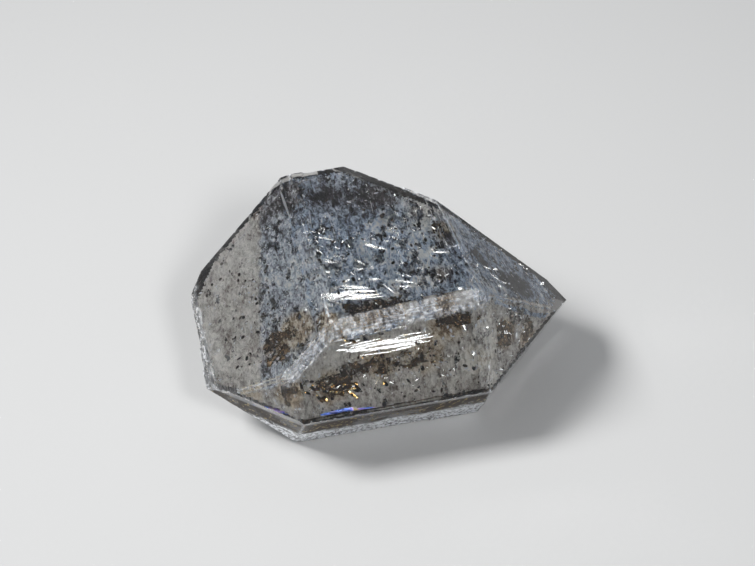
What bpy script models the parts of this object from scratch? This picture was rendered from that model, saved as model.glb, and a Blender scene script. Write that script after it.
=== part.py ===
"""Petroleum quartz: one clear, doubly ended crystal with a sharp point, lying on a face of its prism.

The long axis of the crystal lies along X, with the pointed end at +X and the broad, blunt end at -X.
The origin is on the ground, under the middle of the crystal. Y runs away from the front.
"""

import math

import bmesh
import bpy
from mathutils import Matrix, Vector

MM = 0.001

# The crystal's flat faces
# Each has the turn of its outward direction about the long axis, from straight up towards the front,
# then the lean of that direction from the pointed end, both in degrees,
# and last its distance from the middle of the crystal, in millimetres.
# The six sides of a quartz prism lie 60 degrees apart and along the axis, and the sloping faces of its
# ends lean 52 degrees from it. Growth in many thin steps has turned a few of them by up to four degrees.
FACES = {
    "top": (2.0, 92.5, 3.80),
    "upper_front": (60.0, 90.0, 5.55),
    "lower_front": (120.0, 90.0, 5.35),
    "base": (180.0, 90.0, 3.20),
    "lower_back": (240.0, 90.0, 6.30),
    "upper_back": (300.0, 90.0, 6.15),
    "point_top": (-2.5, 49.0, 6.15),
    "point_upper_front": (60.0, 52.0, 7.50),
    "point_lower_front": (119.0, 49.0, 7.40),
    "point_base": (180.0, 52.0, 6.45),
    "point_lower_back": (240.0, 52.0, 5.25),
    "point_upper_back": (297.5, 51.0, 5.50),
    "blunt_top": (1.5, 126.5, 3.80),
    "blunt_upper_front": (60.0, 128.0, 6.40),
    "blunt_lower_front": (120.0, 128.0, 6.10),
    "blunt_base": (184.0, 125.0, 4.00),
    "blunt_lower_back": (240.0, 128.0, 5.40),
    "blunt_upper_back": (300.0, 128.0, 5.85),
}

# Growth steps, in millimetres
# Each takes away what lies nearer than the given depth to every one of the first faces,
# and deeper than the given depth under every one of the second faces, where the step ends.
BLUNT_RIDGE_STEPS = (
    ({"blunt_top": 0.08, "blunt_base": 0.48}, {}),
    ({"blunt_top": 0.16, "blunt_base": 0.36}, {"blunt_lower_front": 0.35}),
    ({"blunt_top": 0.24, "blunt_base": 0.25}, {}),
    ({"blunt_top": 0.32, "blunt_base": 0.14}, {"blunt_lower_front": 0.80}),
    ({"blunt_top": 0.42, "blunt_base": 0.07}, {"blunt_lower_front": 1.70}),
    ({"blunt_top": 0.55, "blunt_base": 0.15}, {"blunt_upper_back": 4.60}),
    ({"blunt_top": 0.30, "blunt_base": 0.33}, {"blunt_upper_back": 5.60}),
    ({"blunt_top": 0.12, "blunt_base": 0.66}, {"blunt_upper_back": 3.20}),
)
FRONT_RIDGE_STEPS = (
    ({"top": 0.05, "upper_front": 0.19}, {}),
    ({"top": 0.13, "upper_front": 0.14}, {"point_upper_front": 1.10}),
    ({"top": 0.23, "upper_front": 0.10}, {}),
    ({"top": 0.34, "upper_front": 0.06}, {"blunt_upper_front": 0.60}),
    ({"top": 0.48, "upper_front": 0.03}, {"point_upper_front": 2.60}),
    ({"blunt_top": 0.05, "upper_front": 0.40}, {}),
    ({"blunt_top": 0.11, "upper_front": 0.27}, {}),
    ({"blunt_top": 0.18, "upper_front": 0.15}, {"top": 0.90}),
    ({"blunt_top": 0.28, "upper_front": 0.06}, {}),
)
POINT_STEPS = (
    ({"point_top": 0.06, "point_upper_back": 0.72}, {}),
    ({"point_top": 0.14, "point_upper_back": 0.10}, {"point_lower_back": 3.60}),
    ({"point_upper_front": 0.05, "lower_front": 0.85}, {}),
    ({"point_lower_front": 0.06, "base": 1.10}, {}),
    ({"point_upper_back": 0.08, "top": 1.70}, {"point_top": 0.80}),
    ({"point_lower_back": 0.07, "base": 1.90}, {"point_base": 1.20}),
)
SIDE_STEPS = (
    ({"top": 0.05, "upper_back": 0.45}, {"blunt_upper_back": 0.70}),
    ({"top": 0.04, "point_top": 0.35}, {"upper_front": 2.60}),
    ({"lower_front": 0.05, "base": 0.80}, {"point_lower_front": 1.50}),
    ({"lower_back": 0.07, "upper_back": 1.50}, {"point_lower_back": 1.00}),
    ({"lower_back": 0.06, "blunt_lower_back": 1.40}, {}),
    ({"upper_back": 0.06, "point_upper_back": 1.20}, {}),
    ({"blunt_top": 0.06, "blunt_upper_back": 0.45}, {"top": 0.30}),
    ({"blunt_base": 0.07, "base": 1.20}, {"blunt_lower_back": 1.00}),
    ({"blunt_lower_back": 0.06, "lower_back": 1.00}, {}),
)

# Growth pits: the face, the place on it in millimetres towards the pointed end and around towards the front,
# the width and the depth. They have three straight sides on the ends, and four on the prism.
PITS = (
    ("blunt_top", -2.0, -1.5, 0.50, 0.07),
    ("blunt_top", -2.7, 1.5, 0.36, 0.06),
    ("blunt_top", -0.6, 3.1, 0.32, 0.05),
    ("blunt_base", 0.8, -1.0, 0.95, 0.14),
    ("blunt_base", 1.9, 1.6, 0.55, 0.09),
    ("blunt_lower_front", 0.4, 0.6, 0.60, 0.09),
    ("point_upper_front", 0.2, 0.3, 0.40, 0.06),
    ("point_upper_back", 0.6, -0.8, 1.10, 0.15),
    ("point_upper_back", -1.1, 1.4, 0.60, 0.10),
    ("point_lower_back", -0.9, 0.7, 0.90, 0.12),
    ("point_lower_back", 1.2, -0.6, 0.50, 0.08),
    ("lower_back", 0.7, 0.4, 0.60, 0.09),
    ("lower_back", -1.9, -0.5, 0.42, 0.07),
)

# Chips knocked out of the edges: the two faces of the edge, the place along it in millimetres,
# the radius of the hollow and how deep it bites.
CHIPS = (
    ("lower_front", "base", 3.6, 0.85, 0.14),
    ("blunt_lower_front", "blunt_base", -0.6, 0.60, 0.14),
    ("upper_back", "lower_back", 1.1, 0.90, 0.15),
    ("blunt_top", "blunt_upper_back", 1.4, 0.70, 0.10),
)


def face_plane(name):
    """The outward direction of a face, and its distance from the middle of the crystal."""
    turn, lean, distance = FACES[name]
    turn = math.radians(turn)
    lean = math.radians(lean)
    around = Vector((0.0, -math.sin(turn), math.cos(turn)))
    outward = math.sin(lean) * around + Vector((math.cos(lean), 0.0, 0.0))
    return outward.normalized(), distance * MM


def flat_sided_block(planes, half_size=20 * MM):
    """The block inside all the planes, each given as its outward direction and its distance."""
    mesh = bmesh.new()
    bmesh.ops.create_cube(mesh, size=2 * half_size)
    for outward, distance in planes:
        everything = mesh.verts[:] + mesh.edges[:] + mesh.faces[:]
        cut = bmesh.ops.bisect_plane(
            mesh,
            geom=everything,
            dist=1e-9,
            plane_co=outward * distance,
            plane_no=outward,
            clear_outer=True,
        )
        rim = [item for item in cut["geom_cut"] if isinstance(item, bmesh.types.BMEdge)]
        if rim:
            bmesh.ops.edgeloop_fill(mesh, edges=rim)
    bmesh.ops.recalc_face_normals(mesh, faces=mesh.faces)
    return mesh


def solid_object(name, mesh):
    data = bpy.data.meshes.new(name)
    mesh.to_mesh(data)
    mesh.free()
    solid = bpy.data.objects.new(name, data)
    bpy.context.scene.collection.objects.link(solid)
    return solid


def cut_away(body, cutter):
    """Takes the cutter out of the body for good, and removes the cutter."""
    carve = body.modifiers.new("carve", "BOOLEAN")
    carve.operation = "DIFFERENCE"
    carve.solver = "EXACT"
    carve.object = cutter
    bpy.context.view_layer.update()
    graph = bpy.context.evaluated_depsgraph_get()
    carved = bpy.data.meshes.new_from_object(body.evaluated_get(graph))
    whole = body.data
    body.modifiers.remove(carve)
    body.data = carved
    bpy.data.meshes.remove(whole)
    rest = cutter.data
    bpy.data.objects.remove(cutter)
    bpy.data.meshes.remove(rest)


def cut_step(body, under, beyond, reach):
    """Cuts one growth step. Its outer sides lie at reach, clear of the crystal."""
    planes = []
    for name, depth in under.items():
        outward, distance = face_plane(name)
        planes.append((-outward, depth * MM - distance))
    for name, depth in beyond.items():
        outward, distance = face_plane(name)
        planes.append((outward, distance - depth * MM))
    cut_away(body, solid_object("step", flat_sided_block(planes, reach)))


def face_frame(name):
    """A face's outward direction, its direction towards the pointed end, and the one around to the front."""
    outward, distance = face_plane(name)
    along = Vector((1.0, 0.0, 0.0)) - outward.x * outward
    if along.length < 0.01:
        along = Vector((0.0, 0.0, 1.0))
    along.normalize()
    return outward, along, along.cross(outward), distance


def face_middle(name):
    """The middle of a face as the uncut crystal has it."""
    whole = flat_sided_block([face_plane(other) for other in FACES])
    outward, distance = face_plane(name)
    flats = [flat for flat in whole.faces if flat.normal.dot(outward) > 0.9999]
    middle = max(flats, key=lambda flat: flat.calc_area()).calc_center_median_weighted().copy()
    whole.free()
    return middle


def cut_pit(body, name, along_mm, around_mm, width, depth):
    """Cuts a shallow pyramid whose point is down inside the face."""
    outward, along, around, distance = face_frame(name)
    middle = face_middle(name) + along * along_mm * MM + around * around_mm * MM
    sides = 4 if abs(FACES[name][1] - 90.0) < 5.0 else 3
    stretch = 2.2 if sides == 4 else 1.0
    over = 3.0
    mesh = bmesh.new()
    point = mesh.verts.new(middle - outward * depth * MM)
    rim = []
    for side in range(sides):
        angle = math.tau * (side + 0.5) / sides
        spread = stretch * math.cos(angle) * along + math.sin(angle) * around
        corner = point.co + over * (outward * depth * MM + spread * 0.5 * width * MM)
        rim.append(mesh.verts.new(corner))
    mesh.faces.new(rim)
    for side in range(sides):
        mesh.faces.new((point, rim[side], rim[(side + 1) % sides]))
    bmesh.ops.recalc_face_normals(mesh, faces=mesh.faces)
    cut_away(body, solid_object("pit", mesh))


def cut_chip(body, first, second, along_mm, radius, bite):
    """Cuts a shell-shaped chip out of the edge between two faces."""
    first_out, first_distance = face_plane(first)
    second_out, second_distance = face_plane(second)
    edge = first_out.cross(second_out).normalized()
    rows = Matrix((first_out, second_out, edge))
    on_edge = rows.inverted() @ Vector((first_distance, second_distance, along_mm * MM))
    away = (first_out + second_out).normalized()
    mesh = bmesh.new()
    bmesh.ops.create_icosphere(mesh, subdivisions=2, radius=radius * MM)
    flatten = Matrix.Diagonal((1.0, 0.7, 1.0, 1.0))
    turn = edge.to_track_quat("X", "Z").to_matrix().to_4x4()
    place = Matrix.Translation(on_edge + away * (radius - bite) * MM)
    bmesh.ops.transform(mesh, matrix=place @ turn @ flatten, verts=mesh.verts)
    cut_away(body, solid_object("chip", mesh))


# The crystal
for old in list(bpy.data.objects):
    bpy.data.objects.remove(old)

crystal = solid_object("quartz_crystal", flat_sided_block([face_plane(name) for name in FACES]))

steps = BLUNT_RIDGE_STEPS + FRONT_RIDGE_STEPS + POINT_STEPS + SIDE_STEPS
for number, (under, beyond) in enumerate(steps):
    cut_step(crystal, under, beyond, (14 + 0.37 * number) * MM)
for pit in PITS:
    cut_pit(crystal, *pit)
for chip in CHIPS:
    cut_chip(crystal, *chip)

# The ground is under the base, and the origin under the middle of the crystal's box
corners = [vertex.co for vertex in crystal.data.vertices]
low = Vector([min(corner[axis] for corner in corners) for axis in range(3)])
high = Vector([max(corner[axis] for corner in corners) for axis in range(3)])
to_ground = Vector((-(low.x + high.x) / 2, -(low.y + high.y) / 2, -low.z))
crystal.data.transform(Matrix.Translation(to_ground))

# Clear, faintly smoky quartz
quartz = bpy.data.materials.new("clear_quartz")
quartz.use_nodes = True
surface = quartz.node_tree.nodes["Principled BSDF"]
surface.inputs["Base Color"].default_value = (0.80, 0.80, 0.78, 1.0)
surface.inputs["Roughness"].default_value = 0.05
surface.inputs["Metallic"].default_value = 0.0
surface.inputs["IOR"].default_value = 1.544
surface.inputs["Transmission Weight"].default_value = 0.9
quartz.diffuse_color = (0.80, 0.80, 0.78, 1.0)
crystal.data.materials.clear()
crystal.data.materials.append(quartz)
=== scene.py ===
import math

import bmesh
import bpy
import numpy as np
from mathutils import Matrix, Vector, geometry, noise


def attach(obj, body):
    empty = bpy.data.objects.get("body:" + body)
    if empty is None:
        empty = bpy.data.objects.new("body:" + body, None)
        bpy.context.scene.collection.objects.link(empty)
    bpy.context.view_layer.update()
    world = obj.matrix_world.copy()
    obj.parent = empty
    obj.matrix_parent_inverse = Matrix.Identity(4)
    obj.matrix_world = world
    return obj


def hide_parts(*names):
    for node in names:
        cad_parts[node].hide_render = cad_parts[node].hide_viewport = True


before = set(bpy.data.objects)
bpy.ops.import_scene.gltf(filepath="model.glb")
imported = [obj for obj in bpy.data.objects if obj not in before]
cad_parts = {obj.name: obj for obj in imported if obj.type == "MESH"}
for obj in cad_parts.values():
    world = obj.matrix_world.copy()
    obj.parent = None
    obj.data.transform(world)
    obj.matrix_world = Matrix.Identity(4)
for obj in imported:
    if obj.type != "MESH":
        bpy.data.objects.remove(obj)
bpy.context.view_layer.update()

MM = 0.001

# The crystal
# One piece of clear, faintly smoky quartz that grew in oil-bearing rock. Its faces are flat and glassy, with
# fine growth lines across the prism and low terraces on the ends. It lies loose on an etched prism face.
# In mm: the width of the mesh, how far the relief fades in from an edge, and how deep each relief goes.
GRAIN = 0.09
EDGE_FADE = 0.16
CROSS_LINES = 0.006
TERRACES = 0.012
ETCHING = 0.030
NICKS = 0.022
LARGE = 1.5  # square mm: a face below this is a growth step, not a face of the crystal
QUARTZ_IOR = 1.544

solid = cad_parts["quartz_crystal"]
flats = bmesh.new()
flats.from_mesh(solid.data)
bmesh.ops.remove_doubles(flats, verts=flats.verts, dist=1e-6)
bmesh.ops.dissolve_limit(flats, angle_limit=math.radians(0.5), verts=flats.verts, edges=flats.edges)
bmesh.ops.scale(flats, vec=(1 / MM, 1 / MM, 1 / MM), verts=flats.verts)
flats.normal_update()
flats.verts.index_update()
flats.edges.index_update()


def large_face(direction):
    """The outward direction and distance in mm of the large flat face that looks most nearly this way."""
    wanted = Vector(direction).normalized()
    big = [face for face in flats.faces if face.calc_area() > LARGE]
    face = max(big, key=lambda each: each.normal.dot(wanted) + 0.001 * each.calc_area())
    return face.normal.copy(), face.normal.dot(face.verts[0].co)


TOP = large_face((0, 0, 1))
UPPER_FRONT = large_face((0, -0.87, 0.5))
LOWER_FRONT = large_face((0, -0.87, -0.5))
BLUNT_TOP = large_face((-0.6, 0, 0.8))
BLUNT_BASE = large_face((-0.6, 0, -0.8))
POINT_TOP = large_face((0.66, 0, 0.75))
POINT_FRONT = large_face((0.62, -0.68, 0.39))
BLUNT_FRONT = large_face((-0.62, -0.68, 0.39))
LOWER_BACK = large_face((0, 0.87, -0.5))
BLUNT_LOWER_FRONT = large_face((-0.62, -0.68, -0.39))
outer_faces = [
    (face.normal.copy(), face.normal.dot(face.verts[0].co))
    for face in flats.faces
    if face.calc_area() > LARGE
]


def depth_under(face, points):
    """How far each point lies inside a face's plane, in mm."""
    return face[1] - points @ np.array(face[0])


def inside(points, margin):
    """Which points lie deeper than the margin inside every large face."""
    return np.all([depth_under(face, points) > margin for face in outer_faces], axis=0)


def is_sharp(edge):
    """Whether the surface really bends at the edge."""
    return edge.calc_face_angle(0.0) > math.radians(0.6)


def spots_along(edge):
    """Where the edge is divided, from its first end to its second, without the ends."""
    first, second = edge.verts
    count = max(1, round((second.co - first.co).length / GRAIN))
    return [first.co.lerp(second.co, part / count) for part in range(1, count)]


places = [corner.co.copy() for corner in flats.verts]
on_edge = [True] * len(places)
along_edge = {}
for edge in flats.edges:
    along_edge[edge.index] = list(range(len(places), len(places) + len(spots_along(edge))))
    places += spots_along(edge)
    on_edge += [is_sharp(edge)] * (len(places) - len(on_edge))
triangles = []
facing = [Vector() for place in places]
room = [0.0 if sharp else 9.0 for sharp in on_edge]


def to_nearest(points, segments):
    """The distance from each point to the nearest of the line segments."""
    nearest = np.full(len(points), 9.0)
    for start, end in segments:
        line = end - start
        share = np.clip(((points - start) @ line) / max(line @ line, 1e-12), 0, 1)
        nearest = np.minimum(nearest, np.linalg.norm(points - start - share[:, None] * line, axis=1))
    return nearest


def within(points, outline):
    """Which of the points in the plane lie within the outline."""
    x, y = points[:, 0], points[:, 1]
    odd = np.zeros(len(points), bool)
    for (x0, y0), (x1, y1) in zip(outline, np.roll(outline, -1, axis=0)):
        if y0 != y1:
            odd ^= ((y0 > y) != (y1 > y)) & (x < (x1 - x0) * (y - y0) / (y1 - y0) + x0)
    return odd


for flat in flats.faces:
    normal = flat.normal
    across = normal.orthogonal().normalized()
    if abs(normal.x) < 0.99:
        across = (Vector((1, 0, 0)) - normal.x * normal).normalized()
    upward = normal.cross(across)
    rim = []
    sharp_sides = []
    for loop in flat.loops:
        rim.append(loop.vert.index)
        middle = along_edge[loop.edge.index]
        rim += middle if loop.edge.verts[0] == loop.vert else middle[::-1]
        if is_sharp(loop.edge):
            sharp_sides.append(tuple(np.array(corner.co) for corner in loop.edge.verts))
    origin = flat.verts[0].co
    level = np.array([((places[at] - origin).dot(across), (places[at] - origin).dot(upward)) for at in rim])
    low, high = level.min(0), level.max(0)
    rows = np.arange(low[1], high[1], GRAIN * 0.87)
    grid = [
        (x + GRAIN / 2 * (row % 2), y)
        for row, y in enumerate(rows)
        for x in np.arange(low[0], high[0], GRAIN)
    ]
    grid = np.array(grid).reshape(-1, 2)
    if len(grid):
        grid = grid[within(grid, level)]
    if len(grid):
        sides = list(zip(level, np.roll(level, -1, axis=0)))
        grid = grid[to_nearest(grid, sides) > GRAIN * 0.5]
    spread = [Vector(point) for point in level] + [Vector(point) for point in grid]
    _, _, cells, origins, _, _ = geometry.delaunay_2d_cdt(spread, [], [list(range(len(rim)))], 1, 1e-7)
    spots = [origin + across * point[0] + upward * point[1] for point in grid]
    names = rim + list(range(len(places), len(places) + len(spots)))
    places += spots
    facing += [Vector() for spot in spots]
    on_edge += [False] * len(spots)
    room += list(to_nearest(np.array(spots).reshape(-1, 3), sharp_sides)) if spots else []
    for cell in cells:
        corners = [names[origins[at][0]] for at in cell]
        if len(set(corners)) == 3:
            triangles.append(corners)
            for at in corners:
                facing[at] += normal


def ripple(point, across, along, seed):
    """Uneven noise from -1 to 1 whose grain is stretched differently along the crystal and around it."""
    return noise.noise(Vector((point.x / along, point.y / across, point.z / across + seed)))


def worn(point, seed, size=0.5):
    """Smooth noise from 0 to 1."""
    return 0.5 + 0.5 * noise.fractal(point / size + Vector((seed, 0, 0)), 0.9, 2.0, 3)


def relief(point, normal):
    """How far a spot on a face lies below its plane, in mm."""
    if normal.z < -0.99:
        lines = 0.5 + 0.5 * ripple(point, 1.6, 0.20, 3.0)
        pits = worn(point, 5.0, 0.45) ** 2
        return ETCHING * (0.45 * lines + 0.55 * pits)
    if abs(normal.x) < 0.1:
        wide = 0.5 + 0.5 * ripple(point, 2.4, 0.42, 1.0)
        fine = 0.5 + 0.5 * ripple(point, 1.5, 0.16, 2.0)
        return CROSS_LINES * (0.6 * wide + 0.4 * fine)
    hills = 3.5 * worn(point, 8.0, 1.3)
    return TERRACES * (math.floor(hills) + min(1.0, 5 * (hills % 1.0))) / 4


shaped = []
for at, place in enumerate(places):
    normal = facing[at].normalized()
    if room[at] < 1e-6:
        drop = NICKS * max(0.0, worn(place, 11.0, 0.45) - 0.45)
    else:
        near = min(1.0, room[at] / EDGE_FADE)
        drop = relief(place, normal) * near * near * (3 - 2 * near)
    shaped.append((place - normal * drop) * MM)

crystal_mesh = bpy.data.meshes.new("crystal")
crystal_mesh.from_pydata(shaped, [], triangles)
crystal_mesh.polygons.foreach_set("use_smooth", [True] * len(crystal_mesh.polygons))
ends = np.zeros(len(crystal_mesh.edges) * 2, int)
crystal_mesh.edges.foreach_get("vertices", ends)
sharp_line = set()
for edge in flats.edges:
    if is_sharp(edge):
        run = [edge.verts[0].index] + along_edge[edge.index] + [edge.verts[1].index]
        sharp_line |= {tuple(sorted(pair)) for pair in zip(run, run[1:])}
pairs = [tuple(sorted(pair)) for pair in ends.reshape(-1, 2).tolist()]
crystal_mesh.attributes.new("sharp_edge", "BOOLEAN", "EDGE").data.foreach_set(
    "value", [pair in sharp_line for pair in pairs]
)

# Four maps of the surface, from 0 to 1. Frost: bruised or etched white. Painted shade: dark specks on the
# base for the dark ground seen through the crystal. Painted reflection: a dark brown band with golden glints
# on the lower front. Painted sheen: the strip below it, made frosted white and metallic.
points = np.array(places)
normals = np.array([direction.normalized() for direction in facing])
distance_to_edge = np.array(room)
grain = np.array([worn(place, 21.0, 0.16) for place in places])
patches = np.array([worn(place, 31.0, 0.9) for place in places])
streaks = np.array([0.5 + 0.5 * ripple(place, 1.3, 0.10, 9.0) for place in places])


def step(value, low, high):
    """0 below low, 1 above high, and smooth between them."""
    share = np.clip((value - low) / (high - low), 0, 1)
    return share * share * (3 - 2 * share)


def on_face(face):
    """1 where the surface looks the way the face does."""
    return step(normals @ np.array(face[0]), 0.97, 0.995)


def along_ridge(first, second, reach, fade):
    """1 along the edge where two faces meet, and 0 beyond the reach from it, in mm."""
    return step(reach - np.maximum(depth_under(first, points), depth_under(second, points)), 0.0, fade)


facing_down = step(-normals[:, 2], 0.9, 0.99)
ridge = along_ridge(TOP, UPPER_FRONT, 0.50, 0.10)
left_ridge = along_ridge(BLUNT_TOP, UPPER_FRONT, 0.42, 0.10)
end_ridge = along_ridge(BLUNT_TOP, BLUNT_BASE, 0.80, 0.15)
frost = on_face(BLUNT_BASE) * (0.55 + 0.4 * step(patches, 0.35, 0.60))
frost = np.maximum(frost, facing_down * 0.8 * step(0.5 * grain + 0.5 * streaks, 0.40, 0.62))
frost = np.maximum(frost, np.maximum(ridge, left_ridge) * 0.26)
frost = np.maximum(frost, end_ridge * (0.16 + 0.14 * step(grain, 0.4, 0.6)))
frost = np.maximum(frost, step(0.04 - distance_to_edge, 0.0, 0.04) * (0.10 + 0.35 * step(grain, 0.48, 0.66)))
# Painted shade: dark specks on the base that stand in for the dark ground seen through the crystal.
stain = facing_down * step(0.55 * streaks + 0.45 * (1 - grain), 0.46, 0.64)
under_front = np.maximum(on_face(LOWER_FRONT), on_face(BLUNT_LOWER_FRONT))
height = points[:, 2] + 0.5 * (patches - 0.5) + 0.3 * (grain - 0.5)
# Painted reflection: a dark brown band across the upper part of the lower front.
oiled = under_front * step(height, 1.55, 1.75) * (1.0 - step(points[:, 2], 3.00, 3.15) * 0.5)
# Painted sheen: the strip below the band, made frosted white.
silvered = under_front * step(1.7 - height, 0.0, 0.2)
frost = np.maximum(frost, silvered * (0.55 + 0.30 * step(grain, 0.35, 0.6)))
for name, values in (("frost", frost), ("stain", stain), ("oiled", oiled), ("silvered", silvered)):
    crystal_mesh.attributes.new(name, "FLOAT", "POINT").data.foreach_set("value", values.astype(np.float32))
flats.free()


class Wire:
    """A value that flows through a node tree. Sums, products and powers of it become Math nodes."""

    def __init__(self, graph, socket):
        self.graph = graph
        self.socket = socket

    def combine(self, operation, *values):
        sockets = dict(enumerate(values))
        return self.graph.add("ShaderNodeMath", {"operation": operation}, sockets)[0]

    def __add__(self, other):
        return self.combine("ADD", self, other)

    def __radd__(self, other):
        return self.combine("ADD", other, self)

    def __sub__(self, other):
        return self.combine("SUBTRACT", self, other)

    def __rsub__(self, other):
        return self.combine("SUBTRACT", other, self)

    def __mul__(self, other):
        return self.combine("MULTIPLY", self, other)

    def __pow__(self, other):
        return self.combine("POWER", self, other)

    def between(self, low, high):
        """0 below low, 1 above high, and smooth between them."""
        sockets = {"Value": self, "From Min": low, "From Max": high}
        return self.graph.add("ShaderNodeMapRange", {"interpolation_type": "SMOOTHSTEP"}, sockets)[0]


class Graph:
    """A node tree under construction."""

    def __init__(self, tree):
        self.tree = tree

    def add(self, kind, settings=None, sockets=None):
        """Makes a node: its settings, then the values or links of its sockets. Gives its outputs back."""
        node = self.tree.nodes.new(kind)
        for name, value in (settings or {}).items():
            if name == "stops":
                while len(node.color_ramp.elements) < len(value):
                    node.color_ramp.elements.new(0.5)
                for element, (position, colour) in zip(node.color_ramp.elements, value):
                    element.position = position
                    element.color = colour
            else:
                setattr(node, name, value)
        for key, value in (sockets or {}).items():
            if isinstance(value, Wire):
                self.tree.links.new(value.socket, node.inputs[key])
            else:
                node.inputs[key].default_value = value
        return [Wire(self, output) for output in node.outputs if output.enabled]

    def place(self):
        """Where a spot lies on the object."""
        return self.add("ShaderNodeTexCoord")[3]

    def attribute(self, name):
        """A value that the mesh carries under this name."""
        return self.add("ShaderNodeAttribute", {"attribute_name": name})[2]

    def noise(self, place, grains_per_metre, detail, roughness=0.5, distortion=0.0):
        """Cloudy noise from about 0 to 1."""
        sockets = {"Vector": place, "Scale": grains_per_metre, "Detail": detail}
        sockets |= {"Roughness": roughness, "Distortion": distortion}
        return self.add("ShaderNodeTexNoise", {}, sockets)[0]

    def ramp(self, share, *stops):
        """The colour that lies at this share between the stops."""
        return self.add("ShaderNodeValToRGB", {"stops": stops}, {"Fac": share})[0]

    def mix(self, share, first, second):
        return self.add("ShaderNodeMix", {"data_type": "RGBA"}, {0: share, 6: first, 7: second})[0]

    def dents(self, strength, distance, height):
        """The normal of a surface that the height makes uneven."""
        sockets = {"Strength": strength, "Distance": distance, "Height": height}
        return self.add("ShaderNodeBump", {}, sockets)[0]

    def surface(self, sockets):
        """A shader with these values or links in its sockets."""
        return self.add("ShaderNodeBsdfPrincipled", {}, sockets)[0]

    def output(self, **sockets):
        self.add("ShaderNodeOutputMaterial", {}, sockets)


def new_material(name):
    """A new, empty material and the graph that fills it."""
    material = bpy.data.materials.new(name)
    material.use_nodes = True
    material.node_tree.nodes.clear()
    return material, Graph(material.node_tree)


quartz, paint = new_material("clear_quartz")
place = paint.place()
fine = paint.noise(place, 9000.0, 4.0)
soft = paint.noise(place, 900.0, 3.0)
long_lines = paint.add("ShaderNodeMapping", {}, {"Vector": place, "Scale": (1.0, 0.30, 0.6)})[0]
lines = paint.noise(long_lines, 7000.0, 3.0)
frosted = paint.attribute("frost")
painted_shade_map = paint.attribute("stain")
dents = paint.dents(0.35, 0.000004, fine + soft * 3)
rough_dents = paint.dents(0.8, 0.00002, fine)
glass = paint.surface(
    {
        "Base Color": (0.97, 0.97, 0.96, 1),
        "Roughness": 0.01 + soft.between(0.45, 0.8) * 0.05,
        "IOR": QUARTZ_IOR,
        "Transmission Weight": 1.0,
        "Normal": dents,
    }
)
# Painted shade: the dark specks, mixed into the frosted surface's colour.
painted_shade_specks = (painted_shade_map * lines.between(0.40, 0.56)).between(0.25, 0.60)
white_or_painted_shade = paint.mix(painted_shade_specks, (0.86, 0.88, 0.91, 1), (0.10, 0.08, 0.06, 1))
oiled = paint.attribute("oiled")
# The colour of the painted reflection on the lower front: dark brown with golden glints.
oil = paint.mix(lines.between(0.58, 0.66), (0.030, 0.019, 0.011, 1), (0.42, 0.31, 0.13, 1))
outside = paint.mix(oiled, white_or_painted_shade, oil)
# The frosted surface. It also carries the painted shade, the painted reflection and the painted sheen.
frost_and_painted_light = paint.surface(
    {
        "Base Color": outside,
        # Painted sheen: the bright strip is also made metallic.
        "Metallic": paint.attribute("silvered") * 0.8,
        "Specular IOR Level": 0.15,
        "Roughness": 0.45 + fine * 0.2,
        "IOR": QUARTZ_IOR,
        "Transmission Weight": 0.3,
        "Normal": rough_dents,
    }
)
share = (frosted * (0.35 + lines.between(0.35, 0.60))).between(0.0, 1.0)
share = share.combine("MAXIMUM", share, painted_shade_specks * 0.9)
share = share.combine("MAXIMUM", share, oiled * (0.55 + soft.between(0.35, 0.60) * 0.4))
surface = paint.add("ShaderNodeMixShader", {}, {0: share, 1: glass, 2: frost_and_painted_light})[0]
smoke = paint.add("ShaderNodeVolumeAbsorption", {}, {"Color": (0.50, 0.46, 0.42, 1), "Density": 105.0})[0]
paint.output(Surface=surface, Volume=smoke)

crystal = bpy.data.objects.new("crystal", crystal_mesh)
bpy.context.scene.collection.objects.link(crystal)
crystal_mesh.materials.append(quartz)
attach(crystal, "root")
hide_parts("quartz_crystal")

# The veils
# Cracks that opened while the crystal grew and healed again. Each left a thin, wavy, cloudy film of tiny
# pockets sealed inside the quartz: blue-white where gas fills them, tan or black where oil does. Much of
# their
# darkness is painted shade: dark patches, darker deep veils and an all-dark veil at the back stand in for
# the dark ground seen through the clear quartz.
# Each veil: the face that it lies under, its middle, depth, length, width and wave in mm, then how tan, how
# dark and how milky it is.
VEILS = (
    (TOP, (0.0, -0.2, 6.8), 0.68, 12.5, 11.5, 0.12, 0.12, -0.28, 0.0),
    (TOP, (0.4, 0.4, 5.4), 1.70, 10.0, 8.6, 0.30, 0.30, 0.45, 0.0),
    (TOP, (0.0, 0.4, 3.6), 3.60, 9.4, 8.0, 0.35, 0.30, 0.60, 0.0),
    (POINT_TOP, (4.9, -0.9, 5.2), 0.45, 9.0, 9.0, 0.10, 0.15, -0.05, 0.0),
    (POINT_FRONT, (4.9, -4.3, 4.3), 0.50, 7.5, 7.0, 0.10, 0.70, -0.18, 0.30),
    (BLUNT_TOP, (-5.6, -0.8, 4.6), 0.42, 9.0, 16.0, 0.06, 0.35, -0.15, 0.0),
    (BLUNT_FRONT, (-5.6, -5.3, 4.2), 0.40, 6.0, 5.5, 0.08, 0.70, -0.15, 0.6),
    (UPPER_FRONT, (-0.6, -5.7, 4.9), 0.70, 12.5, 6.4, 0.12, 0.74, -0.30, 0.5),
    # Painted reflection: a dark brown veil over a bright white one, for the dark and bright bands that the
    # lower front shows by reflection.
    (LOWER_FRONT, (-0.4, -6.0, 2.75), 0.35, 10.8, 1.1, 0.03, 0.95, 1.00, 0.0),
    (LOWER_FRONT, (-0.4, -5.4, 1.55), 0.35, 10.8, 1.5, 0.03, 0.10, -0.90, 1.0),
    # Painted shade: an all-dark veil at the back, for the dark ground seen through the crystal.
    (LOWER_BACK, (-0.5, 5.6, 1.8), 0.35, 13.5, 5.5, 0.10, 0.20, 1.00, 0.0),
)
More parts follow.
